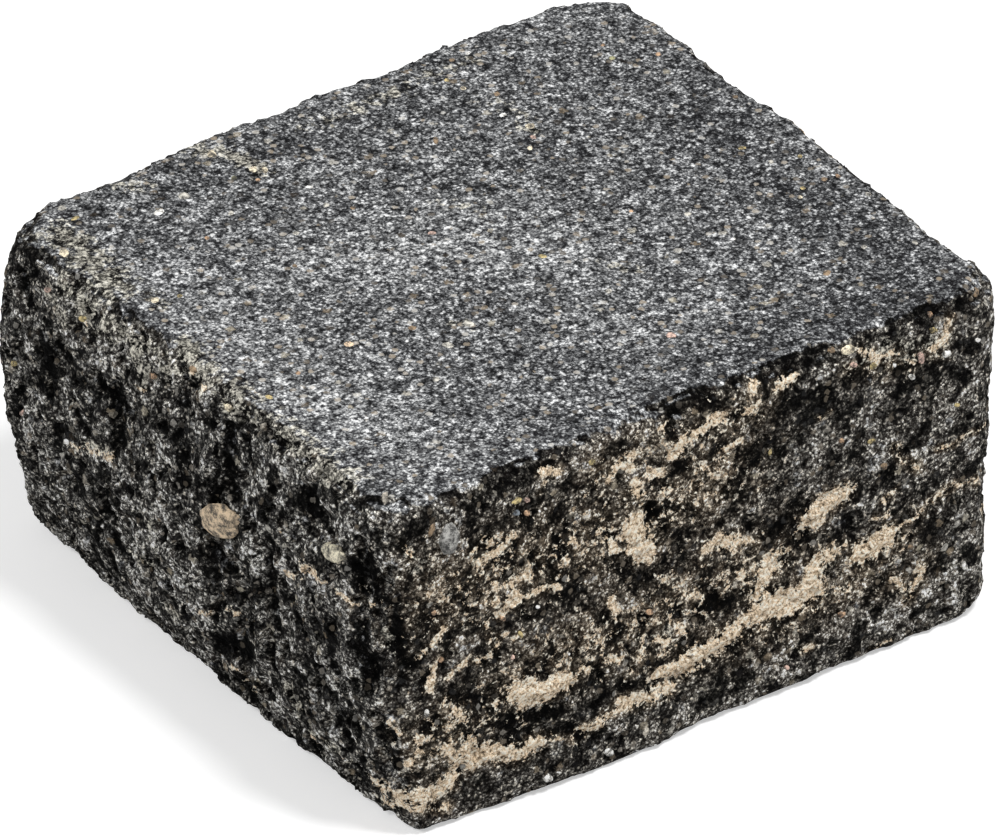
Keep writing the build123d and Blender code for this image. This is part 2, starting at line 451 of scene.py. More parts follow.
# Tan veins and lumps of the front and the left side, in the photograph's pixels: width in
# millimetres, how solid the sand is, then the points of its line
VEINS = [
    # the swath from the near foot corner along the front
    (8.0, 1.0, [(372, 782), (388, 792), (402, 797), (420, 798), (440, 789), (455, 781)]),
    (6.0, 0.8, [(380, 800), (398, 806), (420, 808), (447, 808)]),
    (11.0, 1.0, [(447, 782), (460, 768), (470, 758), (470, 748)]),
    (7.5, 1.2, [(470, 765), (486, 753), (503, 753), (520, 754), (538, 745)]),
    (6.0, 0.8, [(447, 748), (458, 763)]),
    (4.5, 0.9, [(408, 764), (418, 753), (419, 738)]),
    (3.5, 0.9, [(553, 739), (575, 737)]),
    (6.0, 1.1, [(578, 736), (597, 727)]),
    (4.5, 0.9, [(600, 719), (617, 712)]),
    (7.0, 1.0, [(622, 704), (642, 700), (658, 695)]),
    (6.0, 1.1, [(656, 690), (672, 690)]),
    (5.5, 1.4, [(657, 675), (672, 669), (686, 665), (702, 652)]),
    (8.0, 1.3, [(686, 666), (705, 652), (722, 644), (735, 632)]),
    (5.0, 0.9, [(733, 630), (748, 618), (762, 607)]),
    (12.0, 1.2, [(762, 610), (778, 604), (796, 602), (812, 592)]),
    (8.0, 1.1, [(757, 594), (764, 578), (772, 560)]),
    (4.0, 1.0, [(741, 572), (748, 583)]),
    (7.0, 1.1, [(806, 590), (812, 575), (820, 560), (832, 554)]),
    (4.0, 1.0, [(832, 556), (846, 545)]),
    (8.0, 1.4, [(862, 554), (875, 547), (888, 537)]),
    (2.5, 1.0, [(888, 538), (903, 525), (921, 516)]),
    (5.0, 0.75, [(918, 516), (932, 503), (946, 491), (962, 484), (978, 481)]),
    (3.0, 0.8, [(873, 519), (893, 515)]),
    (4.0, 0.8, [(884, 501), (898, 492)]),
    (3.0, 0.8, [(938, 449), (954, 445), (968, 434), (988, 423)]),
    (5.5, 0.65, [(897, 448), (905, 462), (918, 468)]),
    (7.0, 0.75, [(908, 598), (918, 580), (921, 568)]),
    (4.0, 0.8, [(893, 578), (905, 590)]),
    (2.5, 1.0, [(872, 650), (890, 640)]),
    (3.5, 1.0, [(802, 651), (813, 648)]),
    # lumps in the middle of the front
    (8.0, 1.4, [(812, 518), (824, 507)]),
    (6.5, 1.4, [(824, 505), (846, 493)]),
    (3.5, 1.3, [(706, 550), (716, 545)]),
    (6.0, 1.3, [(718, 543), (734, 543)]),
    (4.0, 0.9, [(746, 541), (758, 543)]),
    (7.5, 1.4, [(630, 532), (638, 524), (637, 548), (648, 552)]),
    (3.5, 1.2, [(612, 538), (616, 552)]),
    (3.0, 1.2, [(651, 533), (654, 538)]),
    (2.5, 1.0, [(643, 512), (640, 521)]),
    (5.0, 1.5, [(516, 694), (530, 696)]),
    (8.0, 1.5, [(528, 697), (545, 692), (563, 683)]),
    (4.0, 1.2, [(560, 676), (568, 672)]),
    (4.5, 1.0, [(584, 668), (594, 672)]),
    (3.5, 0.9, [(602, 661), (621, 659)]),
    (1.2, 1.3, [(600, 637), (602, 658)]),
    (4.5, 1.2, [(613, 600), (616, 610)]),
    (2.5, 1.0, [(585, 613), (588, 620)]),
    (3.0, 0.9, [(645, 638), (642, 650)]),
    (5.0, 0.9, [(659, 641), (668, 643)]),
    (5.0, 0.8, [(678, 624), (688, 636)]),
    (4.0, 0.7, [(665, 582), (672, 600), (680, 612)]),
    # streaks that fan out from the near upright edge
    (2.8, 1.2, [(416, 660), (428, 650), (440, 638), (447, 630)]),
    (3.2, 1.2, [(441, 660), (433, 673), (430, 690)]),
    (2.8, 1.1, [(449, 678), (459, 669), (471, 659), (482, 662)]),
    (3.0, 1.0, [(482, 664), (490, 655), (499, 646)]),
    (5.5, 0.8, [(446, 702), (456, 712), (466, 720)]),
    (6.0, 0.8, [(474, 552), (490, 545), (500, 538)]),
    (4.0, 1.3, [(482, 562), (494, 555), (502, 548)]),
    (5.0, 0.9, [(502, 548), (514, 536)]),
    (3.0, 0.9, [(497, 562), (497, 580), (498, 596)]),
    (6.5, 1.1, [(504, 614), (512, 603), (519, 597)]),
    (3.0, 0.8, [(484, 600), (496, 606), (502, 620)]),
    (2.2, 1.1, [(505, 584), (514, 587), (523, 577), (525, 568)]),
    (2.2, 1.2, [(513, 595), (526, 587), (534, 579), (541, 569)]),
    (2.6, 1.3, [(528, 597), (542, 590), (558, 587)]),
    (5.0, 0.65, [(488, 622), (492, 640), (505, 636)]),
    (2.0, 0.9, [(537, 638), (556, 631)]),
    (2.5, 0.9, [(514, 640), (523, 632)]),
    # crumbs along the upper arris of the front
    (4.5, 1.0, [(542, 472), (560, 470)]),
    (2.5, 1.0, [(541, 493), (546, 482)]),
    (2.5, 0.9, [(596, 502), (601, 498)]),
    (4.5, 1.0, [(612, 477), (620, 468), (632, 468)]),
    (4.5, 1.2, [(636, 484), (641, 494)]),
    (5.0, 1.2, [(652, 474), (662, 474)]),
    (3.5, 0.8, [(664, 492), (676, 487)]),
    (4.5, 1.4, [(675, 455), (682, 443)]),
    (4.0, 1.4, [(697, 434), (708, 429)]),
    (4.5, 1.4, [(712, 420), (726, 418)]),
    (2.5, 0.8, [(660, 429), (675, 419)]),
    (2.4, 1.2, [(717, 457), (728, 449), (742, 441)]),
    (3.5, 0.7, [(700, 484), (712, 472), (724, 462)]),
    (2.0, 0.9, [(740, 417), (752, 411), (760, 401)]),
    (3.0, 0.9, [(760, 490), (768, 484)]),
    (4.0, 1.2, [(753, 391), (756, 384)]),
    (5.0, 1.2, [(779, 388), (792, 379)]),
    (2.5, 1.0, [(819, 417), (830, 413)]),
    (6.0, 0.7, [(862, 352), (880, 360), (900, 352)]),
    (5.0, 0.8, [(930, 350), (945, 340), (950, 320)]),
    # the left side
    (6.0, 0.85, [(303, 565), (316, 578)]),
    (3.0, 0.85, [(318, 578), (331, 588), (345, 597), (354, 606), (374, 606)]),
    (4.5, 0.65, [(286, 574), (298, 578)]),
    (5.0, 0.6, [(197, 613), (213, 614)]),
    (5.0, 0.6, [(222, 607), (239, 616)]),
    (4.0, 0.55, [(266, 508), (284, 536), (298, 552)]),
    (2.5, 0.9, [(212, 656), (238, 670), (256, 686)]),
    (3.0, 1.0, [(246, 684), (256, 690)]),
    (6.0, 0.6, [(72, 447), (98, 453), (112, 460)]),
    (2.5, 0.8, [(134, 386), (146, 392)]),
    (4.0, 0.7, [(190, 372), (203, 388)]),
    (3.5, 0.7, [(78, 316), (86, 327)]),
    (3.0, 0.8, [(312, 736), (320, 744)]),
    (3.5, 0.7, [(336, 756), (348, 760)]),
    (3.0, 0.9, [(388, 724), (400, 735)]),
    (4.0, 0.7, [(402, 545), (412, 558)]),
    # thin scatters of sand over most of the front
    (70.0, 0.2, [(440, 600), (540, 560), (660, 520), (720, 470)]),
    (60.0, 0.2, [(440, 740), (560, 660), (680, 600), (780, 560)]),
    (34.0, 0.15, [(600, 470), (700, 430), (760, 410)]),
    (40.0, 0.15, [(640, 660), (740, 640), (840, 590), (900, 540)]),
    (18.0, 0.12, [(850, 370), (900, 365), (940, 350)]),
    (24.0, 0.02, [(880, 590), (930, 560)]),
]

# Hollows of the two sides: width and depth in millimetres, then the points of the line
HOLLOWS = [
    # the left side
    (8.0, 2.4, [(227, 428), (229, 455), (228, 484)]),
    (7.0, 1.6, [(214, 568), (216, 600)]),
    (7.0, 2.0, [(246, 560), (245, 600), (240, 655)]),
    (6.0, 1.8, [(222, 646), (240, 660)]),
    (6.0, 2.0, [(268, 545), (272, 590), (276, 635)]),
    (8.0, 2.4, [(362, 556), (364, 592)]),
    (8.0, 2.0, [(362, 615), (358, 650), (366, 690)]),
    (7.0, 1.8, [(298, 486), (312, 500)]),
    (7.0, 1.8, [(305, 525), (316, 538)]),
    (7.0, 1.8, [(303, 584), (310, 605)]),
    (5.0, 1.6, [(304, 680), (308, 712)]),
    (9.0, 2.0, [(325, 692), (345, 725)]),
    (7.0, 1.8, [(114, 385), (118, 420), (112, 440)]),
    (8.0, 1.6, [(165, 395), (188, 408)]),
    (6.0, 1.5, [(50, 350), (58, 360)]),
    (8.0, 1.6, [(104, 525), (118, 548), (130, 560)]),
    (8.0, 1.6, [(396, 640), (406, 670), (400, 690)]),
    (6.0, 1.6, [(222, 676), (250, 700), (272, 718)]),
    (6.0, 1.5, [(148, 478), (154, 492)]),
    (6.0, 1.4, [(132, 505), (140, 520)]),
    (6.0, 1.4, [(72, 405), (78, 425)]),
    (7.0, 1.6, [(380, 735), (392, 770)]),
    # the front
    (4.5, 1.6, [(655, 683), (680, 680), (692, 668), (714, 658)]),
    (5.5, 2.2, [(476, 748), (477, 760)]),
    (9.0, 1.8, [(536, 716), (560, 706)]),
    (5.0, 2.4, [(600, 674), (604, 678)]),
    (6.0, 2.2, [(643, 618), (648, 626)]),
    (6.0, 2.2, [(444, 662), (448, 674)]),
    (7.0, 2.2, [(650, 508), (653, 524)]),
    (8.0, 1.4, [(505, 733), (560, 730), (604, 738)]),
    (7.0, 1.5, [(534, 556), (540, 570)]),
    (7.0, 1.7, [(748, 520), (752, 532)]),
    (7.0, 1.7, [(848, 520), (852, 534)]),
    (8.0, 1.4, [(700, 588), (720, 600)]),
    (6.0, 1.4, [(404, 776), (410, 786)]),
]

# Ridges of the two sides, told like the hollows with their height
RIDGES = [
    (5.0, 1.6, [(244, 524), (254, 560), (259, 600), (261, 640), (264, 690)]),
    (5.0, 1.3, [(262, 505), (280, 530), (300, 552), (316, 570), (334, 592)]),
    (5.0, 1.2, [(344, 604), (374, 609)]),
    (4.0, 1.2, [(134, 546), (148, 562)]),
    (5.0, 1.2, [(300, 640), (300, 668)]),
    (4.0, 1.4, [(238, 664), (258, 682)]),
    (4.0, 1.2, [(340, 688), (356, 706), (372, 722)]),
    (5.0, 1.0, [(160, 500), (172, 530), (176, 560)]),
    (5.0, 1.0, [(174, 344), (176, 380)]),
    (4.5, 1.2, [(516, 694), (545, 693), (563, 683)]),
    (5.0, 1.2, [(630, 532), (640, 548)]),
    (4.0, 1.2, [(812, 517), (828, 505), (846, 493)]),
    (5.0, 1.0, [(864, 553), (886, 540)]),
    (6.0, 1.1, [(684, 664), (705, 650), (734, 634)]),
    (5.0, 0.8, [(766, 606), (800, 596), (822, 586)]),
    (4.0, 1.0, [(482, 758), (524, 752)]),
]

# Colours of the pebbles that show in the concrete
PEBBLE_TINTS = {
    "brown": (0.2, 0.14, 0.085),
    "fawn": (0.4, 0.31, 0.21),
    "tan": (0.6, 0.45, 0.31),
    "orange": (0.4, 0.26, 0.16),
    "yellow": (0.4, 0.32, 0.15),
    "straw": (0.5, 0.46, 0.35),
    "grey": (0.27, 0.265, 0.25),
    "cream": (0.62, 0.54, 0.4),
    "white": (0.74, 0.72, 0.67),
    "pink": (0.5, 0.35, 0.29),
    "slate": (0.13, 0.15, 0.17),
    "olive": (0.26, 0.25, 0.14),
    "pale": (0.45, 0.43, 0.38),
}

# Pebbles of the three sides in sight: tint, the photograph's pixels of the middle, length,
# breadth, and how far the length turns downwards from the right, in degrees
PEBBLES = [
    ("fawn", 220, 522, 44, 30, 30),
    ("straw", 332, 552, 24, 17, 40),
    ("straw", 338, 558, 14, 10, 80),
    ("grey", 450, 539, 34, 19, 100),
    ("brown", 432, 530, 16, 6, 110),
    ("orange", 434, 613, 7, 6, 0),
    ("pink", 47, 290, 7, 6, 0),
    ("pink", 23, 413, 7, 6, 0),
    ("white", 66, 442, 7, 5, 60),
    ("yellow", 13, 364, 7, 6, 0),
    ("yellow", 82, 319, 8, 6, 20),
    ("orange", 152, 376, 8, 6, 40),
    ("cream", 229, 409, 9, 6, 30),
    ("brown", 193, 369, 9, 7, 20),
    ("cream", 848, 350, 16, 11, -20),
    ("brown", 832, 350, 9, 8, 0),
    ("orange", 930, 315, 9, 7, 60),
    ("yellow", 934, 330, 9, 7, 0),
    ("yellow", 873, 366, 9, 7, -30),
    ("pink", 854, 365, 7, 6, 0),
    ("pink", 921, 358, 14, 8, 80),
    ("white", 947, 354, 10, 7, -20),
    ("white", 894, 365, 8, 6, 0),
    ("white", 912, 377, 7, 6, 0),
    ("white", 978, 340, 6, 5, 0),
    ("brown", 976, 292, 10, 6, 90),
    ("yellow", 957, 405, 7, 5, 0),
    ("orange", 842, 441, 7, 6, 0),
    ("yellow", 872, 441, 9, 5, -20),
    ("brown", 884, 466, 8, 7, 0),
    ("yellow", 770, 452, 10, 4, 100),
    ("orange", 842, 614, 10, 6, -30),
    ("white", 965, 566, 12, 6, 80),
    ("brown", 910, 547, 8, 6, 0),
    ("orange", 650, 612, 8, 7, 0),
    ("yellow", 516, 501, 14, 7, -25),
    ("pink", 527, 500, 7, 6, 0),
    ("orange", 527, 513, 9, 7, 60),
    ("slate", 516, 513, 9, 8, 0),
    ("yellow", 592, 462, 9, 6, -20),
    ("orange", 503, 619, 7, 5, 0),
    ("yellow", 521, 635, 9, 5, 70),
    ("pink", 512, 657, 8, 7, 0),
    ("orange", 441, 659, 10, 8, -40),
    ("white", 609, 752, 12, 9, 30),
    ("white", 548, 778, 11, 9, 10),
    ("white", 568, 654, 5, 4, 0),
    ("pink", 787, 668, 6, 5, 0),
    ("white", 427, 713, 9, 5, 100),
    ("white", 538, 607, 5, 4, 0),
    ("brown", 436, 140, 12, 8, 80),
    ("yellow", 742, 148, 12, 6, 0),
    ("cream", 530, 126, 16, 8, 0),
    ("pink", 533, 137, 9, 5, 10),
    ("cream", 530, 148, 8, 6, 0),
    ("white", 503, 115, 10, 5, -10),
    ("white", 518, 117, 7, 4, 0),
    ("pink", 432, 233, 12, 5, 0),
    ("cream", 463, 88, 9, 6, 0),
    ("brown", 497, 94, 9, 6, 0),
    ("yellow", 447, 80, 8, 5, 0),
    ("orange", 631, 211, 6, 4, 0),
    ("yellow", 542, 256, 14, 5, 5),
    ("pink", 671, 335, 14, 8, 0),
    ("pale", 468, 324, 18, 8, 0),
    ("pale", 448, 345, 16, 8, 10),
    ("pale", 436, 379, 10, 7, 0),
    ("pale", 609, 291, 10, 7, 0),
    ("pale", 688, 214, 10, 6, 0),
    ("pale", 771, 162, 9, 6, 0),
    ("pale", 864, 247, 9, 6, 0),
    ("pale", 915, 242, 10, 6, 20),
    ("pale", 868, 194, 9, 6, 20),
    ("white", 733, 239, 8, 4, 0),
    ("orange", 838, 176, 8, 5, 20),
    ("brown", 824, 179, 9, 6, 0),
    ("brown", 827, 273, 12, 8, 0),
    ("yellow", 803, 188, 8, 5, 0),
    ("yellow", 800, 156, 8, 5, 0),
    ("cream", 800, 197, 8, 5, 0),
    ("brown", 735, 97, 9, 6, 20),
    ("orange", 658, 54, 8, 5, 0),
    ("olive", 612, 58, 9, 5, 0),
    ("orange", 603, 45, 7, 4, 0),
    ("brown", 452, 60, 8, 5, -20),
    ("white", 468, 53, 8, 5, -20),
    ("cream", 212, 154, 15, 11, 0),
    ("cream", 253, 169, 12, 9, 0),
    ("cream", 265, 170, 11, 8, 80),
    ("white", 309, 187, 12, 4, 0),
    ("pale", 184, 196, 18, 9, 0),
    ("white", 159, 212, 15, 8, -20),
    ("pale", 231, 213, 8, 6, 0),
    ("yellow", 76, 218, 14, 5, -20),
    ("cream", 64, 253, 14, 12, 0),
    ("pale", 326, 205, 10, 6, 0),
    ("pale", 296, 233, 10, 6, 0),
    ("tan", 349, 344, 14, 8, 0),
    ("yellow", 269, 397, 12, 6, 10),
    ("orange", 298, 373, 7, 5, 0),
    ("brown", 412, 328, 12, 6, 0),
    ("cream", 155, 300, 12, 8, 0),
    ("yellow", 180, 296, 8, 5, 0),
    ("cream", 227, 407, 10, 8, 30),
    ("brown", 295, 266, 8, 5, 0),
    ("brown", 353, 208, 8, 5, 0),
    ("olive", 234, 178, 9, 6, 0),
    ("orange", 258, 180, 7, 5, 0),
    ("orange", 207, 238, 7, 5, 0),
]

# Dust and painted light and shade, below 0 for darker: width in millimetres, how strong it is, then
# its line's points. On the upper bed the strokes make the grain paler or darker; on the sides they
# are painted shade in the hollows and painted light on the ridges and ledges.
DUST_LIGHT_AND_SHADE = [
    # the upper bed
    (60.0, 0.5, [(170, 280), (260, 370), (340, 400)]),
    (70.0, 0.6, [(330, 260), (470, 240), (560, 260)]),
    (45.0, 0.45, [(380, 420), (440, 460)]),
    (50.0, 0.3, [(600, 330), (700, 320)]),
    (45.0, -0.5, [(700, 120), (800, 200), (900, 260)]),
    (44.0, -0.6, [(740, 350), (860, 310), (930, 290)]),
    (44.0, -0.1, [(500, 60), (600, 60), (680, 90)]),
    (34.0, -0.25, [(140, 190), (300, 140), (400, 100)]),
    # painted shade of the bed along the front's upper arris
    (24.0, -0.25, [(500, 470), (560, 430), (640, 395), (720, 370)]),
    (20.0, -0.4, [(60, 230), (110, 290), (200, 360)]),
    # painted shade in the hollows of the left side
    (9.0, -1.0, [(229, 430), (231, 460), (229, 490)]),
    (11.0, -0.9, [(292, 500), (318, 516)]),
    (11.0, -0.9, [(270, 566), (288, 598)]),
    (10.0, -1.0, [(370, 560), (378, 600)]),
    (10.0, -0.9, [(208, 560), (234, 574)]),
    (7.0, -0.9, [(250, 574), (254, 612)]),
    (12.0, -1.0, [(218, 640), (250, 656)]),
    (9.0, -0.8, [(304, 660), (320, 676)]),
    (9.0, -0.8, [(310, 624), (334, 638)]),
    (12.0, -1.0, [(360, 620), (366, 650), (370, 678)]),
    (12.0, -0.9, [(290, 696), (316, 722)]),
    (10.0, -0.9, [(116, 392), (122, 430)]),
    (9.0, -0.8, [(124, 490), (142, 497)]),
    (13.0, -0.8, [(100, 548), (126, 574)]),
    (12.0, -0.7, [(20, 468), (40, 496)]),
    (12.0, -0.8, [(234, 678), (266, 704)]),
    (9.0, -0.7, [(170, 414), (174, 454)]),
    (10.0, -0.7, [(352, 750), (378, 764)]),
    (10.0, -0.8, [(38, 330), (50, 372)]),
    (10.0, -0.7, [(72, 372), (82, 402)]),
    (9.0, -0.8, [(160, 610), (196, 648)]),
    (10.0, -0.8, [(396, 600), (402, 650)]),
    # painted light on the ridges and ledges of the left side
    (8.0, 0.8, [(66, 444), (96, 452), (118, 464)]),
    (10.0, 0.6, [(140, 500), (164, 526)]),
    (11.0, 0.5, [(160, 534), (182, 564)]),
    (6.0, 0.9, [(250, 530), (258, 570), (263, 622), (268, 660)]),
    (9.0, 0.7, [(266, 506), (292, 546)]),
    (8.0, 0.7, [(294, 568), (346, 598)]),
    (11.0, 0.5, [(170, 586), (200, 622)]),
    (11.0, 0.6, [(306, 640), (332, 684)]),
    (6.0, 0.9, [(202, 652), (236, 668), (266, 688)]),
    (5.0, 0.9, [(370, 604), (400, 612)]),
    (8.0, 0.6, [(284, 414), (290, 454)]),
    (10.0, 0.6, [(144, 356), (164, 396)]),
    (8.0, 0.6, [(60, 300), (64, 340)]),
    (10.0, 0.6, [(320, 734), (350, 760), (388, 788)]),
    (7.0, 0.6, [(340, 700), (372, 726)]),
    # painted shade and painted light of the front
    (12.0, -0.8, [(560, 540), (566, 590)]),
    (9.0, -0.6, [(604, 560), (640, 580), (680, 560)]),
    (10.0, -0.8, [(470, 690), (500, 720), (560, 716)]),
    (9.0, -0.8, [(655, 505), (690, 510)]),
    (10.0, -0.7, [(700, 610), (740, 596)]),
    (9.0, -0.8, [(420, 620), (424, 700)]),
    (12.0, -0.6, [(760, 520), (800, 540)]),
    (10.0, -0.8, [(850, 520), (840, 534)]),
    (8.0, -0.7, [(600, 700), (640, 680), (650, 660)]),
    (14.0, 0.4, [(660, 600), (690, 580), (700, 560)]),
    (12.0, 0.5, [(450, 560), (440, 600), (460, 640)]),
    (12.0, 0.4, [(860, 590), (900, 610), (950, 580)]),
    (10.0, 0.4, [(700, 720), (760, 690), (820, 660)]),
]

# Pale grit of the worn edges: width, how strong it is, and its line's points, as for the dust and
# painted light and shade
GRIT = [
    (22.0, 0.5, [(60, 232), (90, 258), (120, 288)]),
    (9.0, 0.5, [(76, 310), (84, 324)]),
    (16.0, 0.3, [(60, 280), (110, 330), (170, 370)]),
    (20.0, 0.27, [(190, 350), (240, 395), (300, 440), (352, 478)]),
    (14.0, 0.25, [(300, 130), (400, 90), (470, 60)]),
    (12.0, 0.4, [(44, 290), (56, 300), (66, 318)]),
    (9.0, 0.4, [(134, 356), (146, 380)]),
    (10.0, 0.4, [(150, 296), (162, 306)]),
    (14.0, 0.45, [(196, 150), (224, 150), (262, 170)]),
    (12.0, 0.3, [(118, 186), (146, 184)]),
    (10.0, 0.3, [(182, 340), (192, 352)]),
    (8.0, 0.35, [(196, 372), (202, 388)]),
    (9.0, 0.35, [(226, 398), (230, 412)]),
    (10.0, 0.35, [(318, 466), (330, 478)]),
    (9.0, 0.35, [(84, 446), (104, 452)]),
    (10.0, 0.2, [(150, 520), (156, 560)]),
    (10.0, 0.3, [(170, 612), (178, 622)]),
    (9.0, 0.3, [(134, 556), (148, 566)]),
    (12.0, 0.25, [(290, 690), (300, 720)]),
    (12.0, 0.3, [(314, 736), (344, 758)]),
    (9.0, 0.35, [(380, 630), (392, 650)]),
    (12.0, 0.25, [(416, 560), (430, 590)]),
    (10.0, 0.2, [(600, 262), (640, 270)]),
    (12.0, 0.2, [(440, 200), (480, 212)]),
    (8.0, 0.25, [(456, 322), (474, 326)]),
    (9.0, 0.3, [(520, 124), (534, 134)]),
    (12.0, 0.2, [(480, 100), (520, 110)]),
    (16.0, 0.3, [(868, 358), (900, 350), (940, 344)]),
    (14.0, 0.2, [(660, 640), (684, 624)]),
]


def paths_on(tree, strokes):
    """Strokes laid on the block: half a width in metres, a strength, and points in metres."""
    eye = camera_place()
    for width, strength, points in strokes:
        hits = [tree.ray_cast(eye, sight(u, v))[0] for u, v in points]
        yield width * MM / 2, strength, [np.array(hit) for hit in hits if hit]


def distance_to(points, path):
    """How far each point is from a path."""
    nearest = np.full(len(points), np.inf)
    for a, b in zip(path, path[1:]):
        along = b - a
        share = np.clip((points - a) @ along / (along @ along), 0, 1)
        gap = np.linalg.norm(points - a - share[:, None] * along, axis=1)
        nearest = np.minimum(nearest, gap)
    return nearest


def bell(distance, half):
    """1 on a path, falling smoothly to 0 at half its width."""
    share = np.clip(1 - distance / half, 0, 1)
    return share * share * (3 - 2 * share)


def read(mesh, name, width=1):
    """A float attribute of a mesh's points as an array."""
    flat = np.empty(len(mesh.vertices) * width, np.float32)
    mesh.attributes[name].data.foreach_get("vector" if width == 3 else "value", flat)
    return flat.astype(float) if width == 1 else flat.reshape(-1, 3).astype(float)


def store(mesh, name, values):
    attribute = mesh.attributes.get(name) or mesh.attributes.new(name, "FLOAT", "POINT")
    attribute.data.foreach_set("value", values.astype(np.float32))


def carve(mesh, tree):
    """Sinks the hollows and raises the ridges that the photograph shows."""
    points = read(mesh, "position", 3)
    flat = np.empty(len(mesh.vertices) * 3, np.float32)
    mesh.vertex_normals.foreach_get("vector", flat)
    lift = np.zeros(len(points))
    for half, depth, path in paths_on(tree, HOLLOWS):
        lift = np.minimum(lift, -depth * MM * bell(distance_to(points, path), half))
    for half, height, path in paths_on(tree, RIDGES):
        lift = lift + height * MM * bell(distance_to(points, path), half)
    points += flat.reshape(-1, 3) * lift[:, None]
    mesh.attributes["position"].data.foreach_set("vector", points.ravel().astype(np.float32))
    store(mesh, "relief", read(mesh, "relief") + lift / MM)
    mesh.update()


def lay_veins(mesh, tree):
    """Stores how deep in a vein each point lies: 1 on its line, 0 on its rim, under 0 outside."""
    points = read(mesh, "position", 3)
    depth = read(mesh, "swath")
    for half, solid, path in paths_on(tree, VEINS):
        depth = np.maximum(depth, solid - distance_to(points, path) / half)
    store(mesh, "vein", depth)
    # the strokes of dust with painted light and shade, and those of grit
    for name, strokes in (("dust", DUST_LIGHT_AND_SHADE), ("grit", GRIT)):
        total = np.zeros(len(points))
        for half, strength, path in paths_on(tree, strokes):
            total += strength * bell(distance_to(points, path), half)
        store(mesh, name, total)


# Tones of the grain, from dark to pale: where each stands on the scale, and its colour. The palest
# tones are pale grains and in part painted glints on the grains' facets.
BED_TONES = [
    (0.0, (0.01, 0.01, 0.011)),
    (0.2, (0.036, 0.037, 0.04)),
    (0.4, (0.12, 0.123, 0.127)),
    (0.6, (0.305, 0.31, 0.314)),
    (0.9, (0.77, 0.775, 0.77)),
]
FRONT_TONES = [
    (0.0, (0.002, 0.002, 0.002)),
    (0.25, (0.0105, 0.0075, 0.0048)),
    (0.45, (0.037, 0.0295, 0.0215)),
    (0.65, (0.095, 0.083, 0.066)),
    (0.92, (0.6, 0.51, 0.4)),
]
LEFT_TONES = [
    (0.0, (0.002, 0.002, 0.002)),
    (0.25, (0.0062, 0.0055, 0.005)),
    (0.45, (0.034, 0.0333, 0.0316)),
    (0.65, (0.15, 0.146, 0.134)),
    (0.92, (0.7, 0.65, 0.56)),
]

# Tones of the larger grains and the loose crumbs; each grain or crumb picks one at random
MIDDLING_TONES = [
    (0.0, (0.015, 0.015, 0.017)),
    (0.5, (0.08, 0.08, 0.08)),
    (0.7, (0.26, 0.22, 0.17)),
    (0.85, (0.5, 0.42, 0.32)),
    (1.0, (0.75, 0.73, 0.68)),
]
COARSE_TONES = [
    (0.0, (0.012, 0.012, 0.014)),
    (0.3, (0.05, 0.04, 0.03)),
    (0.5, (0.3, 0.24, 0.17)),
    (0.75, (0.46, 0.42, 0.33)),
    (1.0, (0.62, 0.6, 0.55)),
]
CRUMB_TONES = [
    (0.75, (0.01, 0.01, 0.01)),
    (0.85, (0.1, 0.096, 0.088)),
    (0.94, (0.3, 0.275, 0.23)),
    (1.0, (0.62, 0.57, 0.49)),
]


def new_material(name):
    """A material with an empty node tree, and the graph that fills it."""
    material = bpy.data.materials.new(name)
    material.use_nodes = True
    material.node_tree.nodes.clear()
    return material, Graph(material.node_tree)


def end_material(g, colour, height, bump, roughness, specular):
    """Ends a material with its surface; bump is how many metres a height of 1 stands out."""
    shader = g.add("ShaderNodeBsdfPrincipled")
    g.feed(shader.inputs["Base Color"], colour)
    shader.inputs["Roughness"].default_value = roughness
    shader.inputs["Specular IOR Level"].default_value = specular
    bumps = g.add("ShaderNodeBump")
    bumps.inputs["Strength"].default_value = 1.0
    bumps.inputs["Distance"].default_value = bump
    g.feed(bumps.inputs["Height"], height)
    g.feed(shader.inputs["Normal"], bumps.outputs[0])
    out = g.add("ShaderNodeOutputMaterial")
    g.feed(out.inputs["Surface"], shader.outputs[0])


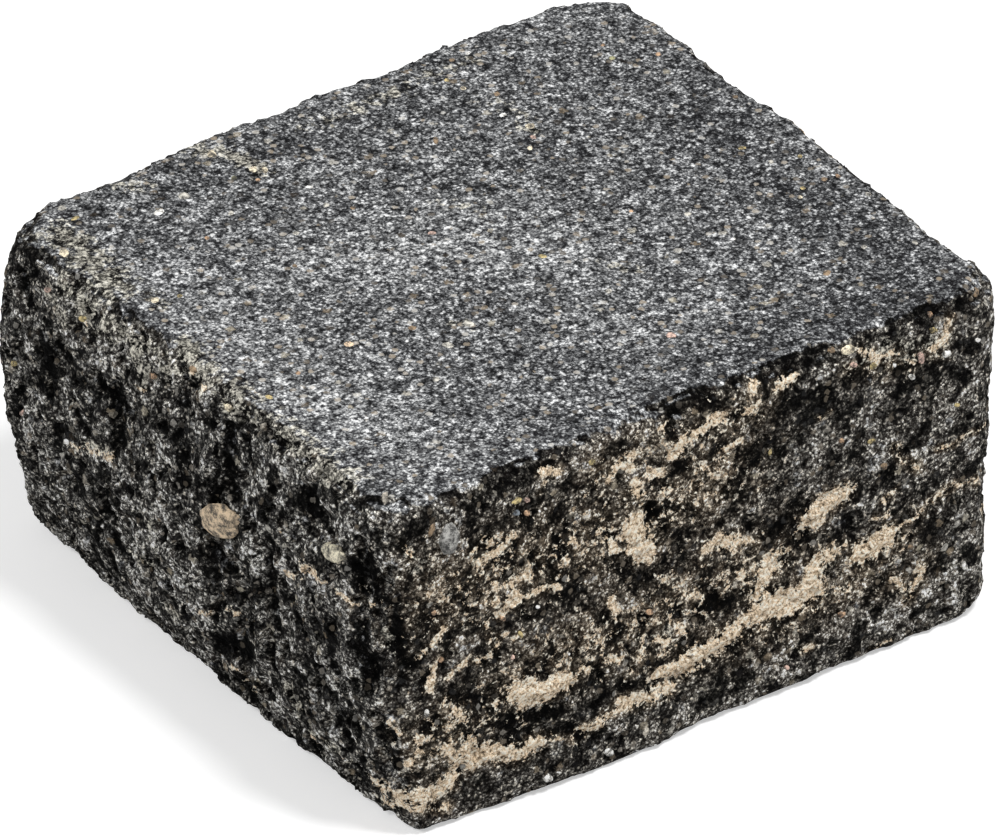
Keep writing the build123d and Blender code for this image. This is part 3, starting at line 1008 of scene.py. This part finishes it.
def concrete_fields(g):
    """What the colours of the concrete go by: stored values, noises, and three sizes of grain."""
    place = g.add("ShaderNodeTexCoord").outputs["Object"]
    f = SimpleNamespace()
    for name in ("bed", "left", "relief", "vein", "dust", "grit", "tone"):
        attribute = g.add("ShaderNodeAttribute", attribute_name=name)
        setattr(f, name, attribute.outputs["Fac"])

    drift = g.drift(place, 1.2 * MM, 0.6, 3.0)
    bent = g.vector("ADD", place, g.scaled(drift, 1.2 * MM))
    jagged = g.vector("ADD", place, g.scaled(drift, 3.0 * MM))
    f.fine = g.cells(bent, FINE_GRAIN)
    f.middling = g.cells(bent, MIDDLING_GRAIN)
    f.coarse = g.cells(jagged, COARSE_GRAIN)
    f.fine_pick = g.split_colour(f.fine.outputs["Color"])
    f.middling_pick = g.split_colour(f.middling.outputs["Color"])
    f.coarse_pick = g.split_colour(f.coarse.outputs["Color"])

    f.speckle = g.noise(place, 1.6 * MM, 3, 0.8, 2.0)
    f.clotted = g.noise(place, 3.0 * MM, 2, 0.6, 17.0)
    f.broken = g.noise(place, 4 * MM, 4, 0.7, 11.0)
    f.mottled = g.noise(place, 8 * MM, 3, 0.6, 23.0, warp=0.5)
    # Broad blotches for the painted light and shade of the clefts
    f.blotchy = g.noise(place, 20 * MM, 2, 0.5, 41.0, warp=0.6)
    threads = g.noise(place, 5 * MM, 3, 0.6, 29.0, warp=1.2)
    f.threads = g.math("ABSOLUTE", g.math("SUBTRACT", threads, 0.5))

    # How pale each grain is: a pick of its own, broken up by speckle, with dark gaps between
    shade = g.math("MULTIPLY_ADD", f.speckle, 1.7, -0.52)
    shade = g.math("MULTIPLY_ADD", f.fine_pick[0], 0.35, shade)
    f.gaps = g.step(f.fine.outputs["Distance"], 0.4, 0.62, 0.0, 0.22)
    f.shade = g.math("SUBTRACT", g.stir(shade, f.broken, 1.0), f.gaps)
    # The beds end in a ragged line, further in where there is grit
    bed_edge = g.stir(g.stir(f.bed, f.broken, 2.2), f.mottled, 1.6)
    bed_edge = g.math("MULTIPLY_ADD", f.grit, -1.5, bed_edge)
    f.on_bed = g.step(bed_edge, 0.2, 0.6)
    return f


def grain_colour(g, f):
    """Fine grain: pale on the beds, dark on the clefts and there warm near the front's sand, with
    painted light and shade on the clefts.
    """
    # The bed's grain, made paler or darker by the strokes, which also lay painted shade along the
    # front's upper arris
    bed_dust_and_shade = g.math("MULTIPLY_ADD", f.dust, 0.2, g.math("MULTIPLY_ADD", f.shade, 1.2, -0.09))
    patches = g.step(f.broken, 0.3, 0.7, 0.6, 1.4)
    patches = g.math("MULTIPLY", patches, g.step(f.mottled, 0.3, 0.7, 0.75, 1.25))
    bed_grain = g.toned(g.ramp(bed_dust_and_shade, BED_TONES), patches)

    # Pale threads along the cracks are painted light, as if the crack edges caught the light
    shade_and_lit_threads = g.math("ADD", f.shade, g.step(f.threads, 0.0, 0.03, 0.14, 0.0))
    neutral = g.math("MAXIMUM", f.left, g.step(f.vein, -0.9, 0.2, 0.75, 0.0))
    cleft_grain = g.mix(neutral, g.ramp(shade_and_lit_threads, FRONT_TONES), g.ramp(shade_and_lit_threads, LEFT_TONES))
    # Painted light and shade on the clefts: upstanding crumbs are paled as if lit and the pits
    # darkened near to black as if in shade; the painted strokes and two broad noises add patches of
    # painted shade and light
    high_up = g.stir(g.math("MULTIPLY", f.relief, 1.3), f.broken, 5.0)
    high_up = g.math("MULTIPLY_ADD", f.dust, 2.4, high_up)
    cleft_light_and_shade = g.step(high_up, -3.0, 1.2, 0.03, 2.8)
    cleft_light_and_shade = g.math("MULTIPLY", cleft_light_and_shade, g.step(f.mottled, 0.39, 0.6, 0.1, 2.2))
    cleft_light_and_shade = g.math("MULTIPLY", cleft_light_and_shade, g.step(f.blotchy, 0.38, 0.62, 0.6, 1.4))
    return g.mix(f.on_bed, g.toned(cleft_grain, cleft_light_and_shade), bed_grain)


def lay_grains(g, f, colour):
    """Middling grains, some pale, some black and a few tan, and one in nine coarse ones."""
    chosen = g.step(f.middling_pick[1], 0.78, 0.8)
    inside = g.step(f.middling.outputs["Distance"], 0.38, 0.5, 1.0, 0.0)
    share = g.math("MULTIPLY", chosen, g.math("MULTIPLY", inside, 0.6))
    share = g.math("MULTIPLY", share, g.step(f.on_bed, 0.0, 1.0, 0.45, 1.0))
    colour = g.mix(share, colour, g.ramp(f.middling_pick[0], MIDDLING_TONES))

    coarse_tone = g.ramp(f.coarse_pick[0], COARSE_TONES)
    coarse_tone = g.toned(coarse_tone, g.step(f.speckle, 0.3, 0.7, 0.3, 1.7))
    shown = g.step(f.coarse_pick[1], 0.88, 0.9, 0.0, 0.7)
    ragged = g.math("MULTIPLY_ADD", f.speckle, 0.5, f.coarse.outputs["Distance"])
    inside = g.step(ragged, 0.5, 0.62, 1.0, 0.0)
    return g.mix(g.math("MULTIPLY", shown, inside), colour, coarse_tone)


def lay_grit(g, f, colour, cream):
    """Pale grit at the worn edges."""
    gritty = g.stir(g.stir(f.grit, f.clotted, 2.2), f.speckle, 1.4)
    gritty = g.step(gritty, 0.2, 0.45, 0.0, 0.85)
    gritty = g.math("MULTIPLY", gritty, g.step(f.grit, 0.0, 0.15))
    grit_tone = g.toned((*cream, 1.0), g.step(f.shade, 0.1, 0.8, 0.15, 2.0))
    return g.mix(gritty, colour, grit_tone)


def lay_crumbs(g, f, colour):
    """The tones of the crumbs that stand free of the skin."""
    crumb_tone = g.toned(g.ramp(f.tone, CRUMB_TONES), g.step(f.speckle, 0.3, 0.7, 0.4, 1.8))
    return g.mix(g.step(f.tone, 0.72, 0.8, 0.0, 0.75), colour, crumb_tone)


def lay_sand(g, f, colour, sand):
    """Tan sand in the veins and crumbs of it round them, with dark pinholes."""
    edge = g.stir(g.stir(f.vein, f.broken, 2.4), f.clotted, 1.4)
    edge = g.stir(g.stir(edge, f.speckle, 1.3), f.mottled, 1.2)
    cracks = g.math("MULTIPLY_ADD", f.vein, 0.02, f.threads)
    sandy = g.math("MULTIPLY", g.step(edge, 0.25, 0.42), g.step(cracks, 0.014, 0.024))
    loose = g.stir(g.math("MULTIPLY", g.math("MINIMUM", f.vein, 0.3), 0.5), f.clotted, 1.9)
    loose = g.stir(loose, f.speckle, 2.2)
    sandy = g.math("MAXIMUM", sandy, g.step(loose, 0.2, 0.42, 0.0, 0.9))

    shade = g.math("MULTIPLY_ADD", f.speckle, 1.7, -0.38)
    shade = g.math("MULTIPLY_ADD", f.fine_pick[1], 0.3, shade)
    sand_tone = g.ramp(
        g.math("SUBTRACT", shade, f.gaps),
        [
            (0.1, (0.1, 0.076, 0.052)),
            (0.3, (0.48, 0.37, 0.25)),
            (0.5, sand),
            (0.7, (1.0, 0.94, 0.8)),
        ],
    )
    pinholes = g.step(g.math("ADD", f.speckle, g.math("MULTIPLY", f.clotted, 0.5)), 0.52, 0.7)
    return g.mix(g.math("MULTIPLY", sandy, pinholes), colour, sand_tone)


def grain_height(g, f):
    """The bumps of the grains, with coarser ones on the clefts."""
    dome = g.step(f.fine.outputs["Distance"], 0.0, 0.8, 1.0, 0.0)
    middling_dome = g.step(f.middling.outputs["Distance"], 0.0, 0.8, 1.0, 0.0)
    height = g.math("MULTIPLY_ADD", dome, 0.5, f.speckle)
    height = g.math("MULTIPLY_ADD", middling_dome, 0.6, height)
    return g.mix(f.on_bed, g.math("MULTIPLY_ADD", f.broken, 4.0, height), height)


def concrete_material(finish):
    """Packed grains with dark gaps, paler on the beds, tan in the veins, with painted shade near
    black in the pits and painted light on the clefts' crumbs.
    """
    material, g = new_material("split_concrete")
    f = concrete_fields(g)
    colour = grain_colour(g, f)
    colour = lay_grains(g, f, colour)
    colour = lay_grit(g, f, colour, finish.cream)
    colour = lay_crumbs(g, f, colour)
    colour = lay_sand(g, f, colour, finish.sand)
    end_material(g, colour, grain_height(g, f), bump=0.6 * MM, roughness=0.8, specular=0.04)
    return material


def pebble_material():
    """A worn pebble: its own tint, mottled and a little dusty."""
    material, g = new_material("pebble")
    place = g.add("ShaderNodeTexCoord").outputs["Object"]
    tint = g.add("ShaderNodeAttribute", attribute_name="tint").outputs["Color"]
    mottle = g.noise(place, 2.2 * MM, 4, 0.8, 6.0)
    colour = g.toned(tint, g.step(mottle, 0.38, 0.62, 0.1, 1.9))
    end_material(g, colour, mottle, bump=0.5 * MM, roughness=0.6, specular=0.5)
    return material


def random_value(g, low_end, high_end, seed, kind="FLOAT"):
    """A random number or vector for each point."""
    node = g.add("FunctionNodeRandomValue", data_type=kind)
    first = 0 if kind == "FLOAT_VECTOR" else 2
    g.feed(node.inputs[first], low_end)
    g.feed(node.inputs[first + 1], high_end)
    g.feed(node.inputs["Seed"], seed)
    return node.outputs[0 if kind == "FLOAT_VECTOR" else 1]


def crumbs_tree(material):
    """Scatters angular crumbs over the clefts of the skin, partly sunk in it."""
    sockets = [
        ("Per square metre", "NodeSocketFloat"),
        ("Smallest", "NodeSocketFloat"),
        ("Largest", "NodeSocketFloat"),
        ("Seed", "NodeSocketInt"),
    ]
    tree = new_tree("loose_crumbs", sockets)
    g = Graph(tree)
    given = g.add("NodeGroupInput").outputs
    place = g.add("GeometryNodeInputPosition").outputs[0]
    bed = g.add("GeometryNodeInputNamedAttribute", data_type="FLOAT")
    bed.inputs["Name"].default_value = "bed"
    split = g.add("ShaderNodeSeparateXYZ")
    g.feed(split.inputs[0], place)
    clear = g.step(split.outputs["Z"], *CRUMB_FOOT)
    clumps = g.step(g.noise(place, 9 * MM, 2, 0.5, 31.0), 0.4, 0.6, 0.2, 1.0)
    where = g.math("MULTIPLY", clear, clumps)
    where = g.math("MULTIPLY", where, g.step(bed.outputs[0], 0.3, 0.9, 1.0, 0.0))
    scatter = g.add("GeometryNodeDistributePointsOnFaces")
    g.feed(scatter.inputs["Mesh"], given["Geometry"])
    g.feed(scatter.inputs["Density"], g.math("MULTIPLY", where, given["Per square metre"]))
    g.feed(scatter.inputs["Seed"], given["Seed"])
    crumb = g.add("GeometryNodeMeshIcoSphere")
    crumb.inputs["Subdivisions"].default_value = 1
    crumb.inputs["Radius"].default_value = 1.0
    pick = g.math("POWER", random_value(g, 0.0, 1.0, 1), 2.5)
    span = g.math("SUBTRACT", given["Largest"], given["Smallest"])
    size = g.math("MULTIPLY_ADD", pick, span, given["Smallest"])
    shape = random_value(g, (0.6, 0.6, 0.5), (1.3, 1.3, 0.9), 2, "FLOAT_VECTOR")
    turn = random_value(g, (0, 0, 0), (6.28, 6.28, 6.28), 3, "FLOAT_VECTOR")
    sunk = g.add("GeometryNodeSetPosition")
    g.feed(sunk.inputs["Geometry"], scatter.outputs["Points"])
    inward = g.scaled(scatter.outputs["Normal"], g.math("MULTIPLY", size, -CRUMB_SUNK))
    g.feed(sunk.inputs["Offset"], inward)
    placed = g.add("GeometryNodeInstanceOnPoints")
    g.feed(placed.inputs["Points"], sunk.outputs[0])
    g.feed(placed.inputs["Instance"], crumb.outputs[0])
    g.feed(placed.inputs["Rotation"], turn)
    g.feed(placed.inputs["Scale"], g.scaled(shape, size))
    tone = random_value(g, 0.03, 1.0, 4)
    toned = keep_values(g, placed.outputs[0], {"tone": tone}, "INSTANCE")
    realised = g.add("GeometryNodeRealizeInstances")
    g.feed(realised.inputs[0], toned)
    chipped = g.add("GeometryNodeSetPosition")
    g.feed(chipped.inputs["Geometry"], realised.outputs[0])
    shift = g.scaled(g.drift(place, 1.5 * MM, 0.5, 37.0), CRUMB_CHIPPED)
    g.feed(chipped.inputs["Offset"], shift)
    return finish_tree(g, chipped.outputs[0], material)


def face_pixel(eye, spot, normal):
    """How far a point on the face at a spot moves for one pixel to the right and one down."""
    _, across, up = camera_axes()
    reach = (spot - eye).length
    moves = []
    for step in (across, -up):
        ray = (spot + step * (reach / FOCAL_PX) - eye).normalized()
        moves.append(eye + ray * ((spot - eye).dot(normal) / ray.dot(normal)) - spot)
    return moves


def pebble_shape(work, middle, axes, seed, rings):
    """Adds a rounded, slightly uneven pebble with the given half axes."""
    ball = bmesh.ops.create_uvsphere(work, u_segments=2 * rings, v_segments=rings, radius=1.0)
    verts = ball["verts"]
    for vert in verts:
        unit = vert.co.normalized()
        bulge = 1 + PEBBLE_BULGE * noise.noise(unit * PEBBLE_BULGE_RUN + Vector((seed, 0, 0)))
        vert.co = middle + sum((axis * part for axis, part in zip(axes, unit * bulge)), Vector())
    return verts


class WALLBLOCK_OT_split_block(bpy.types.Operator):
    """Makes the block's rough skin over its solid"""

    bl_idname = "wallblock.split_block"
    bl_label = "Split block"

    def execute(self, context):
        relief = context.scene.block_relief
        material = concrete_material(context.scene.concrete_finish)
        block = solid_copy("split_block")
        smooth = BVHTree.FromObject(block, context.evaluated_depsgraph_get())
        remesh = block.modifiers.new("Remesh", "REMESH")
        remesh.mode = "VOXEL"
        remesh.voxel_size = relief.voxel
        remesh.use_smooth_shade = True
        run_tree(
            block,
            relief_tree(material),
            {
                "Swell": relief.swell,
                "Crumbs": relief.crumb,
                "Edge crumbs": relief.arris,
                "Grain": relief.grain,
                "Flutes": relief.flute,
                "Pits": relief.pit,
                "Bed grain": relief.bed,
                "Seed": float(relief.seed),
            },
        )
        settle(block)
        carve(block.data, smooth)
        made = 2 * len(block.data.polygons)
        thin = block.modifiers.new("Thin", "DECIMATE")
        thin.ratio = min(1.0, relief.triangles / made)
        settle(block)
        block.data.shade_smooth()
        lay_veins(block.data, smooth)
        tag_piece(block)
        return {"FINISHED"}


class WALLBLOCK_OT_loose_crumbs(bpy.types.Operator):
    """Makes the angular crumbs that stand out of the clefts"""

    bl_idname = "wallblock.loose_crumbs"
    bl_label = "Loose crumbs"

    def execute(self, context):
        grit = context.scene.block_grit
        skin = bpy.data.objects["split_block"]
        crumbs = bpy.data.objects.new("loose_crumbs", skin.data.copy())
        context.scene.collection.objects.link(crumbs)
        run_tree(
            crumbs,
            crumbs_tree(skin.data.materials[0]),
            {
                "Per square metre": grit.density,
                "Smallest": grit.smallest,
                "Largest": grit.largest,
                "Seed": grit.seed,
            },
        )
        settle(crumbs)
        crumbs.data.shade_flat()
        tag_piece(crumbs)
        return {"FINISHED"}


class WALLBLOCK_OT_pebbles(bpy.types.Operator):
    """Makes the pebbles that show in the three sides in sight"""

    bl_idname = "wallblock.pebbles"
    bl_label = "Pebbles"

    def execute(self, context):
        eye = camera_place()
        skin = bpy.data.objects["split_block"]
        rough = BVHTree.FromObject(skin, context.evaluated_depsgraph_get())
        bare = solid_copy("bare_solid")
        smooth = BVHTree.FromObject(bare, context.evaluated_depsgraph_get())
        bpy.data.objects.remove(bare)
        work = bmesh.new()
        tints = {}
        for number, (tint, u, v, length, breadth, turn) in enumerate(PEBBLES):
            deep = rough.ray_cast(eye, sight(u, v))[0]
            outer, normal = smooth.ray_cast(eye, sight(u, v))[:2]
            if deep is None or outer is None:
                raise RuntimeError(f"pebble {number} misses the block")
            large = length > LARGE_PEBBLE_PX
            spot = outer if large else deep
            right, down = face_pixel(eye, spot, normal)
            turn = math.radians(turn)
            long_half = (right * math.cos(turn) + down * math.sin(turn)) * (length / 2)
            short_half = (down * math.cos(turn) - right * math.sin(turn)) * (breadth / 2)
            thin = min(long_half.length, short_half.length)
            depth = normal * min(thin * PEBBLE_DEPTH_SHARE, PEBBLE_DEPTH_MOST)
            on_bed = abs(normal.z) > BED_NORMAL
            sunk = spot - depth * (PEBBLE_SUNK_ON_BED if on_bed else PEBBLE_SUNK_ON_CLEFT)
            axes = (long_half, short_half, depth)
            rings = LARGE_PEBBLE_RINGS if large else SMALL_PEBBLE_RINGS
            made = pebble_shape(work, sunk, axes, number, rings)
            tints.update({vert: PEBBLE_TINTS[tint] for vert in made})
        work.verts.index_update()
        bmesh.ops.recalc_face_normals(work, faces=work.faces)
        colours = [(*tints[vert], 1.0) for vert in work.verts]
        mesh = bpy.data.meshes.new("pebbles")
        work.to_mesh(mesh)
        work.free()
        layer = mesh.attributes.new("tint", "FLOAT_COLOR", "POINT")
        layer.data.foreach_set("color", np.array(colours, np.float32).ravel())
        mesh.shade_smooth()
        mesh.materials.append(pebble_material())
        pebbles = bpy.data.objects.new("pebbles", mesh)
        context.scene.collection.objects.link(pebbles)
        tag_piece(pebbles)
        return {"FINISHED"}


def area_lamp(scene, name, place, width, power):
    """A round lamp that shines at the block's middle."""
    data = bpy.data.lights.new(name, "AREA")
    data.shape = "DISK"
    data.size = width
    data.energy = power
    lamp = bpy.data.objects.new(name, data)
    lamp.location = place
    lamp.rotation_mode = "QUATERNION"
    lamp.rotation_quaternion = (Vector(place) - (low + high) / 2).to_track_quat("Z", "Y")
    scene.collection.objects.link(lamp)


def make_floor(scene):
    """A wide pale floor at height 0."""
    mesh = bpy.data.meshes.new("floor")
    turns = ((-1, -1), (1, -1), (1, 1), (-1, 1))
    mesh.from_pydata([(x * FLOOR_REACH, y * FLOOR_REACH, 0) for x, y in turns], [], [(0, 1, 2, 3)])
    floor = bpy.data.objects.new("floor", mesh)
    scene.collection.objects.link(floor)
    material, g = new_material("pale_floor")
    diffuse = g.add("ShaderNodeBsdfDiffuse")
    diffuse.inputs["Color"].default_value = (FLOOR_TONE, FLOOR_TONE, FLOOR_TONE, 1.0)
    glow = g.add("ShaderNodeEmission")
    seen = g.add("ShaderNodeLightPath").outputs["Is Camera Ray"]
    g.feed(glow.inputs["Strength"], g.math("MULTIPLY", seen, FLOOR_GLOW))
    both = g.add("ShaderNodeAddShader")
    g.feed(both.inputs[0], diffuse.outputs[0])
    g.feed(both.inputs[1], glow.outputs[0])
    out = g.add("ShaderNodeOutputMaterial")
    g.feed(out.inputs["Surface"], both.outputs[0])
    mesh.materials.append(material)


def make_sky(scene):
    """A white sky that gives less light than it shows."""
    world = bpy.data.worlds.new("studio")
    scene.world = world
    world.use_nodes = True
    world.node_tree.nodes.clear()
    g = Graph(world.node_tree)
    path = g.add("ShaderNodeLightPath").outputs
    seen = g.math("MAXIMUM", path["Is Camera Ray"], path["Is Glossy Ray"])
    seen = g.math("MAXIMUM", seen, path["Is Transmission Ray"])
    sky = g.add("ShaderNodeBackground")
    sky.inputs["Color"].default_value = (1.0, 1.0, 1.0, 1.0)
    g.feed(sky.inputs["Strength"], g.step(seen, 0.0, 1.0, SKY_LIGHT, SKY_SEEN))
    out = g.add("ShaderNodeOutputWorld")
    g.feed(out.inputs["Surface"], sky.outputs[0])


def make_camera(scene):
    """The camera that took the photograph."""
    data = bpy.data.cameras.new("camera")
    data.sensor_width = SENSOR
    data.lens = FOCAL_PX / PHOTO_WIDTH * SENSOR
    data.clip_end = 30.0
    camera = bpy.data.objects.new("camera", data)
    camera.location = camera_place()
    camera.rotation_mode = "QUATERNION"
    camera.rotation_quaternion = camera_axes()[0].to_track_quat("Z", "Y")
    scene.collection.objects.link(camera)
    scene.camera = camera
    scene.view_settings.view_transform = "Standard"


class WALLBLOCK_OT_stage(bpy.types.Operator):
    """Makes the floor, the light and the camera"""

    bl_idname = "wallblock.stage"
    bl_label = "Stage"

    def execute(self, context):
        make_floor(context.scene)
        make_sky(context.scene)
        for lamp in LAMPS:
            area_lamp(context.scene, *lamp)
        make_camera(context.scene)
        return {"FINISHED"}


class WALLBLOCK_PT_pieces(bpy.types.Panel):
    """Lists the pieces of the wall block"""

    bl_label = "Wall block"
    bl_space_type = "VIEW_3D"
    bl_region_type = "UI"
    bl_category = "Wall block"

    def draw(self, context):
        for operator in OPERATORS:
            self.layout.operator(operator.bl_idname)
        for group in (
            context.scene.block_relief,
            context.scene.block_grit,
            context.scene.concrete_finish,
        ):
            for name in group.__annotations__:
                self.layout.prop(group, name)


OPERATORS = (
    WALLBLOCK_OT_split_block,
    WALLBLOCK_OT_loose_crumbs,
    WALLBLOCK_OT_pebbles,
    WALLBLOCK_OT_stage,
)
CLASSES = (BlockRelief, BlockGrit, ConcreteFinish, *OPERATORS, WALLBLOCK_PT_pieces)


def register():
    for cls in CLASSES:
        bpy.utils.register_class(cls)
    bpy.types.Scene.block_relief = PointerProperty(type=BlockRelief)
    bpy.types.Scene.block_grit = PointerProperty(type=BlockGrit)
    bpy.types.Scene.concrete_finish = PointerProperty(type=ConcreteFinish)


def unregister():
    del bpy.types.Scene.concrete_finish
    del bpy.types.Scene.block_grit
    del bpy.types.Scene.block_relief
    for cls in reversed(CLASSES):
        bpy.utils.unregister_class(cls)


def main():
    register()
    bpy.ops.wallblock.split_block()
    bpy.ops.wallblock.loose_crumbs()
    bpy.ops.wallblock.pebbles()
    bpy.ops.wallblock.stage()


if __name__ == "__main__":
    main()
